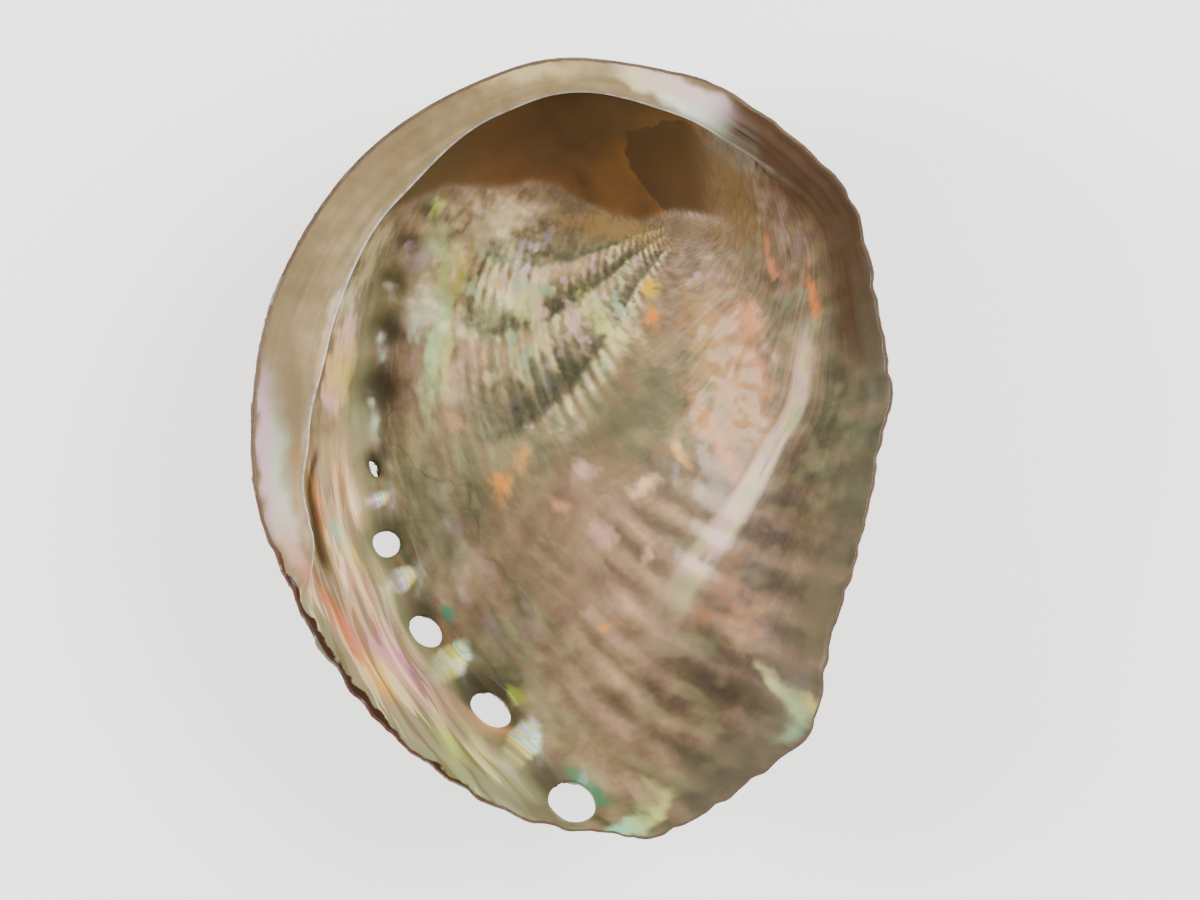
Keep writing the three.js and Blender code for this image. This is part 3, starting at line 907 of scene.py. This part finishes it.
class Finish:
    """A material, and the nodes that it is drawn with."""

    def __init__(self, name):
        self.material = bpy.data.materials.new(name)
        self.material.use_nodes = True
        self.tree = self.material.node_tree
        self.shader = self.tree.nodes["Principled BSDF"]

    def node(self, kind, settings=None, inputs=None, output=0):
        """Adds a node: its settings first, then its sockets' values or links."""
        node = self.tree.nodes.new(kind)
        for name, value in (settings or {}).items():
            if name == "stops":
                self.set_stops(node.color_ramp, value)
            else:
                setattr(node, name, value)
        self.feed(node, inputs or {})
        return Value(self, node.outputs[output])

    def feed(self, node, inputs):
        """Links or sets a node's sockets. A text is a colour's six digits."""
        for name, value in inputs.items():
            if isinstance(value, Value):
                self.tree.links.new(value.socket, node.inputs[name])
            else:
                node.inputs[name].default_value = colour(value) if isinstance(value, str) else value

    @staticmethod
    def set_stops(ramp, stops):
        while len(ramp.elements) < len(stops):
            ramp.elements.new(1)
        for element, (place, value) in zip(ramp.elements, stops):
            element.position = place
            element.color = colour(value) if isinstance(value, str) else (value, value, value, 1)

    def math(self, operation, *values):
        return self.node("ShaderNodeMath", {"operation": operation}, dict(enumerate(values)))

    def mark(self, name):
        """A number that the mesh carries at each point."""
        return self.node("ShaderNodeAttribute", {"attribute_name": name}, output=2)

    def vector(self, x, y, z=0.0):
        return self.node("ShaderNodeCombineXYZ", inputs={0: x, 1: y, 2: z})

    def place(self):
        return self.node("ShaderNodeTexCoord", output=3)

    def noise(self, vector, scale, detail=3.0, roughness=0.5, distortion=0.0):
        settings = {"Vector": vector, "Scale": scale, "Detail": detail, "Roughness": roughness,
                    "Distortion": distortion}
        return self.node("ShaderNodeTexNoise", inputs=settings)

    def grain(self, first, second, shift=0.0, **settings):
        """Noise drawn out along two of the numbers that the mesh carries."""
        return self.noise(self.vector(first, second, shift), 1.0, **settings)

    def step(self, value, low, high):
        """0 below low and 1 above high, with a soft edge between."""
        return self.node("ShaderNodeMapRange", {"interpolation_type": "SMOOTHSTEP"},
                         {0: value, 1: low, 2: high, 3: 0.0, 4: 1.0})

    def mix(self, share, first, second, blend="MIX"):
        return self.node("ShaderNodeMix", {"data_type": "RGBA", "blend_type": blend},
                         {0: share, 6: first, 7: second}, output=2)

    def ramp(self, value, *stops):
        """A colour or a grey that follows a value, through stops of (value, six digits or tone)."""
        return self.node("ShaderNodeValToRGB", {"stops": stops}, {0: value})

    def bump(self, height, depth):
        return self.node("ShaderNodeBump", inputs={"Height": height, "Distance": depth, "Strength": 1.0})


# The numbers of the mesh that the lining's finish reads.
NACRE_MARKS = (
    "across", "age", "along_lip", "arc", "band", "cord", "corner", "crevice", "deep", "dusk", "edge",
    "fold", "gutter", "ledge", "ledge_edge", "ledge_line", "lip", "lumpy", "margin", "olive", "pleated",
    "pore_row", "ragged_rim", "reach", "recess", "rib", "ripple", "saddle", "scar", "shade", "stage",
    "tint_share", "wall",
)


class Nacre(Finish):
    """Mother-of-pearl: taupe and smooth, with streaks of colour that follow the shell's growth.

    Each of the mesh's numbers is an attribute of the same name. Each layer takes the colour so far.
    """

    def __init__(self):
        super().__init__("nacre")
        for name in NACRE_MARKS:
            setattr(self, name, self.mark(name))
        self.at = self.place()
        self.plain = (1.0 - self.ledge) * (1.0 - self.recess)
        self.off_wall = 1.0 - self.wall
        self.scarred = self.step(self.scar + self.noise(self.at, 300.0, detail=5.0) * 0.5, 0.6, 0.85)
        self.add_patterns()

    def add_patterns(self):
        """The patterns that more than one layer shows."""
        self.cloud = self.noise(self.at, 38.0, detail=4.0)
        self.mottle = self.noise(self.at, 170.0, detail=5.0, roughness=0.6)
        self.streak = self.grain(self.age * 5.0, self.cord * 0.8, distortion=0.4)
        self.lines = self.grain(self.reach * 1.6, self.cord * 0.3, detail=4.0, roughness=0.6)
        self.veins = self.grain(self.across * 0.26, self.arc * 0.025, 7.0, detail=2.0, distortion=0.5)
        self.bands = self.grain(self.arc * 0.02, self.edge * 0.6, detail=2.0)
        self.arcs = self.grain(self.ripple * 0.36, self.cord * 0.3, 13.0, detail=2.0)
        self.cords = self.math("COSINE", (self.cord + self.cloud * 0.8) * (2 * math.pi))
        self.ribs = self.math("COSINE", (self.rib + self.cloud * 0.5) * (2 * math.pi))
        self.young = 1.0 - self.step(self.age, 0.35, 0.85)
        self.fold_shading = self.fold_lines(self.stage + (self.streak - 0.5) * 0.1)
        rise = self.saddle + (self.mottle - 0.5) * 0.5 + (self.arcs - 0.5) * 0.8
        self.rise = self.step(rise, 0.3, 0.8)

    def fold_lines(self, stage):
        """The colour's version of folds(), -1 to 1: painted shade at each old lip, and a painted highlight
        on its young side.
        """
        span = 2.0
        stops = []
        for place in FOLD_STAGES:
            stops += [(place - 0.2, 0.5), (place - 0.09, 1), (place - 0.035, 0.8), (place, 0.02),
                      (place + 0.06, 0.22)]
        ramp = self.ramp(stage / span, *((place / span, tone) for place, tone in stops))
        return (self.node("ShaderNodeRGBToBW", inputs={0: ramp}) - 0.5) * 2.0

    def lightness(self):
        """How light the lining is, before any stronger colour."""
        light = 0.5 + (self.cloud - 0.5) * 0.6 + (self.streak - 0.5) * 0.4
        light = light + (self.lines - 0.5) * (0.1 + self.along_lip * 0.35)
        patchy = self.step(self.noise(self.at, 30.0, detail=1.0), 0.4, 0.62)
        ribbed = self.young * patchy * (1.0 - self.dusk * 0.6) * (1.0 - self.scarred) * self.off_wall
        light = light + self.ribs * ribbed * 0.1 + self.wall * 0.2
        uneven = self.step(self.noise(self.at, 75.0, detail=2.0), 0.38, 0.62)
        # On the pleats: painted highlights on the ridges and painted shade at each old lip.
        pleats = self.cords * uneven * 0.1 * (self.fold_shading + 1.2) + self.fold_shading * 0.22
        light = light + self.pleated * pleats
        light = light + (self.mottle - 0.5) * (0.45 + self.lumpy * 0.6 - self.wall * 0.3)
        light = light + self.lumpy * 0.24
        knots = self.noise(self.at, 120.0, roughness=0.55)
        light = light + (knots - 0.5) * (self.lumpy * 1.6 + self.plain * 0.25)
        light = light * (1.0 - self.scarred * 0.35) + self.scarred * 0.19
        # Painted shade in the pores and pits and between the pale sheen and the lip, a little painted light
        # on the sheen, and a darker margin in its own colour.
        return light - self.margin * 0.2 - self.shade * 0.4 + self.band * 0.04 - self.dusk * 0.28

    def tinge(self, base):
        """Pinkish and greenish areas, warm ribs, pearly flecks on the pleats, and grey-green in the pleats'
        painted shade.
        """
        hue = self.noise(self.at, 24.0, detail=2.0) + (self.streak - 0.5) * 0.5
        hues = self.ramp(hue, (0.38, "74865a"), (0.5, "a58a5c"), (0.6, "ae8068"))
        base = self.mix(0.36, base, hues, "COLOR")
        warm = self.step(self.ribs + (self.streak - 0.5) * 2.0, 0.1, 1.0) * self.young
        base = self.mix(warm * self.off_wall * (1.0 - self.dusk * 0.7) * 0.44, base, "c69478", "COLOR")
        rainbow = self.ramp(self.grain(self.age * 2.6, self.cord * 0.28, 3.0, detail=2.0),
                            (0.36, "a4c49c"), (0.43, "cede8c"), (0.49, "f6eaa6"), (0.54, "f0ba88"),
                            (0.59, "ecb4bc"), (0.66, "d8c8dc"))
        dapple = self.grain(self.age * 13.0, self.cord * 0.9, 5.0, detail=1.0)
        dapple = dapple + self.cords * 0.05 * self.pleated
        strength = 0.08 + self.pleated * self.step(self.fold_shading, -0.5, 0.6) * 0.65 + self.lumpy * 0.2
        flecks = self.step(dapple, 0.46, 0.66) * strength * self.plain
        # Grey-green in the pleats' painted shade.
        base = self.mix(self.pleated * (0.5 - self.fold_shading * 0.5) * 0.5, base, "6c7454", "COLOR")
        return self.mix(flecks * (1.0 - self.scarred), base, rainbow)

    def wall_colours(self, base):
        """Long veins of colour on the wall beside the pores, and olive towards the rim."""
        hues = self.ramp(self.veins, (0.36, "8c8e66"), (0.42, "cdbf92"), (0.46, "eea262"), (0.49, "c8a482"),
                         (0.53, "eeb0b8"), (0.57, "fdf0ae"), (0.62, "b4cfae"), (0.67, "a8946e"))
        base = self.mix(self.wall * 0.55, base, hues)
        outer = self.wall * (1.0 - self.step(self.edge, 3.5, 8.0))
        return self.mix(outer * 0.7, base, "8d8c6c")

    def pore_colours(self, base):
        """Arcs of colour with painted highlights on the rises between the pores, and painted shade in the
        pores and pits.
        """
        # Pearly colours on the rises between the pores, with painted highlights in their whites.
        hues = self.ramp(self.arcs, (0.32, "a89a64"), (0.4, "e2dc66"), (0.46, "fbf4c0"), (0.5, "84dcb8"),
                         (0.54, "f6f0dc"), (0.6, "cba4e0"), (0.66, "b7a078"))
        base = self.mix(self.rise * (0.6 + self.mottle * 0.4), base, hues)
        # Painted shade in the pores and pits.
        return self.mix(self.shade * 0.6, base, "524a36")

    def ledge_colours(self, base):
        """The ledge: tan, banded along the rim, and lighter towards its free edge."""
        tone = self.fold * 0.34 + (self.bands - 0.5) * 0.45 + (self.cloud - 0.5) * 0.7
        tone = tone + (self.noise(self.at, 240.0, detail=4.0) - 0.5) * 0.5 + 0.29
        return self.mix(self.ledge, base, self.ramp(
            tone, (0.1, "6e5c3e"), (0.4, "8c7650"), (0.58, "a18b64"), (0.8, "bdab84"), (1.0, "dccfac")))

    def spots(self, base):
        """The spots that stand out, broken up along the growth, and the painted shade of the pores laid
        over them.
        """
        calm = 1.0 - self.pore_row * 0.8 - self.wall * 0.3
        ragged = self.grain(self.age * 16.0, self.cord * 1.3, 9.0, detail=4.0) * self.off_wall
        ragged = (ragged + self.veins * self.wall - 0.5) * (1.0 - self.ledge) * calm
        spot = self.step(self.tint_share * (0.85 + self.ledge * 0.15) + ragged * 1.1, 0.2, 0.8)
        tint = self.node("ShaderNodeAttribute", {"attribute_name": "tint"})
        base = self.mix(spot * (1.0 - self.recess) * 0.9, base, tint)
        # The pores' painted shade again, laid over the spots.
        return self.mix(self.shade * (1.0 - self.rise) * 0.5, base, "423a26")

    def wall_strokes(self, base):
        """Crisp strokes along the wall: dark ones painted shade in its folds, light ones painted
        highlights.
        """
        strokes = self.grain(self.across * 0.62, self.arc * 0.035, 11.0, detail=2.0, roughness=0.6,
                             distortion=0.3)
        # Dark strokes: painted shade in the wall's folds; light strokes: painted highlights.
        base = self.mix(self.step(strokes, 0.48, 0.39) * self.wall * 0.65, base, "6e6238")
        return self.mix(self.step(strokes, 0.55, 0.62) * self.wall * 0.75, base, "ffe2a2")

    def bright_lines(self, base):
        """The painted pale sheen along the outer lip, the ledge's gold line, and the painted highlight
        along its free edge.
        """
        band_hue = self.ramp(self.grain(self.cord * 0.45, self.age * 8.0, 17.0, detail=2.0),
                             (0.38, "b89e6c"), (0.46, "ccb684"), (0.52, "c8a09a"), (0.58, "d0ae80"),
                             (0.66, "b0b07c"))
        broken = self.step(self.lines + self.streak * 0.5, 0.42, 0.75)
        # Painted sheen along the outer lip.
        base = self.mix(self.band * broken * 0.85, base, band_hue)
        base = self.mix(self.ledge_line * 0.6, base, "7c6a3c")
        edge_hue = self.ramp(self.grain(self.arc * 0.14, 0.0, 19.0, detail=2.0),
                             (0.4, "bfe8dc"), (0.48, "f6f1e6"), (0.56, "f4ece4"), (0.62, "ecc4dc"))
        beads = self.step(self.noise(self.at, 520.0, detail=2.0), 0.35, 0.6) * 0.5 + 0.5
        # Painted highlight along the ledge's free edge, beaded and pearly.
        return self.mix(self.ledge_edge * beads, base, edge_hue)

    def hollow_colours(self, base):
        """The bare brown hollow, partly painted shadow under the ledge, with painted shade in its corner
        and along the ledge above it, and painted shade in the crevice at the ledge's lower end.
        """
        hollow = self.ramp(self.cloud * 0.6 + self.noise(self.at, 110.0) * 0.4,
                           (0.35, "573b19"), (0.5, "764f23"), (0.65, "8b602c"))
        # Painted shade in the hollow's corner and along the ledge above it.
        corner = self.step(self.corner + (self.mottle - 0.5) * 0.3, 0.4, 0.55)
        hollow = self.mix(corner * 0.85, hollow, "4a351b")
        hollow = self.mix(self.deep * 0.6, hollow, "4a3a24")
        hollow = self.mix(self.olive, hollow, "5e4b2e")
        # Painted shade in the crevice under the ledge's lower end.
        base = self.mix(self.crevice, base, "3f2c14")
        return self.mix(self.recess, base, hollow)

    def edge_colours(self, base):
        """The outer lip, dark brown in its own colour and partly as painted shade, the green gutter, the
        grey margin, and the rim with its chips.
        """
        # Dark brown lip: its own colour, and partly painted shade.
        base = self.mix(self.lip * (0.65 + self.bands * 0.5), base, "402614")
        base = self.mix(self.gutter * 0.6 * (1.0 - self.recess), base, "87865c")
        base = self.mix(self.margin * 0.45, base, "5f5b48")
        chips = (self.noise(self.at, 260.0) - 0.5) * 2.6 - 0.35
        rim = self.edge + self.noise(self.at, 400.0) * 0.6 + chips * self.ragged_rim
        smooth_rim = self.mix(self.ledge * 0.8, "5c4c38", "66543a")
        rim_hue = self.mix(self.ragged_rim, smooth_rim, "3a1f14")
        return self.mix(1.0 - self.step(rim, 0.45, 0.8), base, rim_hue)

    def gloss(self):
        """The roughness of each place."""
        gloss = 0.46 - self.wall * 0.08 - self.band * 0.04 + self.scarred * 0.15
        return gloss + self.recess * 0.1 + self.shade * 0.4 - self.rise * 0.08

    def fine_relief(self):
        """Fine growth lines and crinkles, which are too small for the mesh."""
        crinkle = self.noise(self.at, 500.0) * self.scarred
        height = self.lines * self.plain * (0.4 + self.along_lip * 0.3) + crinkle
        return self.bump(height + self.bands * self.ledge * 0.5 + self.arcs * self.rise * 0.5, 0.00022)


def nacre_finish():
    paint = Nacre()
    base = paint.ramp(paint.lightness(), (0.05, "2b2418"), (0.3, "53452f"), (0.48, "766347"),
                      (0.66, "a08860"), (0.85, "cfb888"), (1.0, "f6e4b6"))
    for layer in (paint.tinge, paint.wall_colours, paint.pore_colours, paint.ledge_colours, paint.spots,
                  paint.wall_strokes, paint.bright_lines, paint.hollow_colours, paint.edge_colours):
        base = layer(base)
    paint.feed(paint.shader, {
        "Base Color": base, "Metallic": 0.1, "Roughness": paint.gloss(), "Specular IOR Level": 0.25,
        "Coat Weight": 0.15 - paint.shade * 0.15, "Coat Roughness": 0.12, "Normal": paint.fine_relief(),
    })
    return paint.material


def crust_finish():
    """The rough outside: brick-red and brown in growth bands, with a pale grey-green crust."""
    paint = Finish("crust")
    cord, reach = paint.mark("cord"), paint.mark("reach")
    place = paint.place()
    bands = paint.grain(reach * 0.35, cord * 0.1, detail=4.0)
    base = paint.ramp(bands, (0.36, "34160f"), (0.46, "54261a"), (0.54, "6b3626"), (0.62, "84604a"),
                      (0.7, "8f8468"))
    fine = paint.grain(reach * 2.2, cord * 0.5, detail=4.0, roughness=0.65)
    base = paint.mix(paint.step(fine, 0.45, 0.7) * 0.5, base, "8a6a52")
    patch = paint.noise(place, 42.0, detail=6.0, roughness=0.65)
    growths = paint.step(patch, 0.52, 0.6)
    base = paint.mix(growths * 0.75, base, "77765c")
    pale = paint.step(paint.noise(place, 90.0, detail=5.0, roughness=0.6), 0.6, 0.64) * 0.8
    base = paint.mix(pale, base, "a59c84")
    speckle = paint.step(paint.noise(place, 420.0, detail=4.0), 0.6, 0.68)
    base = paint.mix(speckle * 0.5, base, "b7a98e")
    # A dark line along the spire's groove: painted shade.
    base = paint.mix(paint.step(paint.mark("suture"), 0.3, 0.9) * 0.5, base, "2c140e")
    near_rim = 1.0 - paint.step(paint.mark("edge") + (patch - 0.5) * 3.0, 0.1, 1.0)
    base = paint.mix(near_rim * (1.0 - paint.mark("ragged_rim")) * 0.6, base, "5c4a34")
    grit = paint.noise(place, 700.0, detail=5.0, roughness=0.7)
    rough = grit + growths * 1.2 + pale * 1.5 + fine * 1.5
    paint.feed(paint.shader, {"Base Color": base, "Roughness": 0.85, "Normal": paint.bump(rough, 0.0006)})
    return paint.material


# ---------------------------------------------------------------- stage

VIEW_MIDDLE = Vector((5.6, -0.2, 38)) * MM
VIEW_WIDTH = 240 * MM
VIEW_DISTANCE = 1000 * MM
FLOOR_SIZE = 1.5
FLOOR_GAP = 0.2 * MM           # keeps the floor from touching the worn flat
PAPER_WHITE = "f4f3f1"
PAPER_GLOW = 1.3
SKY_STRENGTH = 0.65


def add_camera():
    data = bpy.data.cameras.new("camera")
    data.lens = data.sensor_width * VIEW_DISTANCE / VIEW_WIDTH
    camera = bpy.data.objects.new("camera", data)
    camera.location = VIEW_MIDDLE + Vector((0, 0, VIEW_DISTANCE))
    bpy.context.scene.collection.objects.link(camera)
    bpy.context.scene.camera = camera


def add_light(name, place, size, power, tint=(1, 1, 1)):
    data = bpy.data.lights.new(name, "AREA")
    data.size, data.energy, data.color = size, power, tint
    light = bpy.data.objects.new(name, data)
    light.location = place
    light.rotation_euler = (-Vector(place)).to_track_quat("-Z", "Y").to_euler()
    bpy.context.scene.collection.objects.link(light)


def add_floor():
    plan = bmesh.new()
    bmesh.ops.create_grid(plan, x_segments=1, y_segments=1, size=FLOOR_SIZE)
    mesh = bpy.data.meshes.new("floor")
    plan.to_mesh(mesh)
    floor = bpy.data.objects.new("floor", mesh)
    floor.location.z = -FLOOR_GAP
    bpy.context.scene.collection.objects.link(floor)
    paper = Finish("floor_paper")
    paper.feed(paper.shader, {"Base Color": PAPER_WHITE, "Roughness": 0.9, "Emission Color": PAPER_WHITE,
                              "Emission Strength": PAPER_GLOW})
    mesh.materials.append(paper.material)


def add_world():
    world = bpy.data.worlds.new("studio")
    world.use_nodes = True
    world.node_tree.nodes["Background"].inputs["Color"].default_value = (1, 1, 1, 1)
    world.node_tree.nodes["Background"].inputs["Strength"].default_value = SKY_STRENGTH
    bpy.context.scene.world = world


add_camera()
add_world()
add_floor()
add_light("key", (-0.98, 0.12, 0.62), 0.4, 15)
add_light("fill", (0.75, 0.35, 0.75), 0.7, 16)

shell = build_shell()
shell.data.materials.append(nacre_finish())
shell.data.materials.append(crust_finish())
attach(shell, "root")
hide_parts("shell")
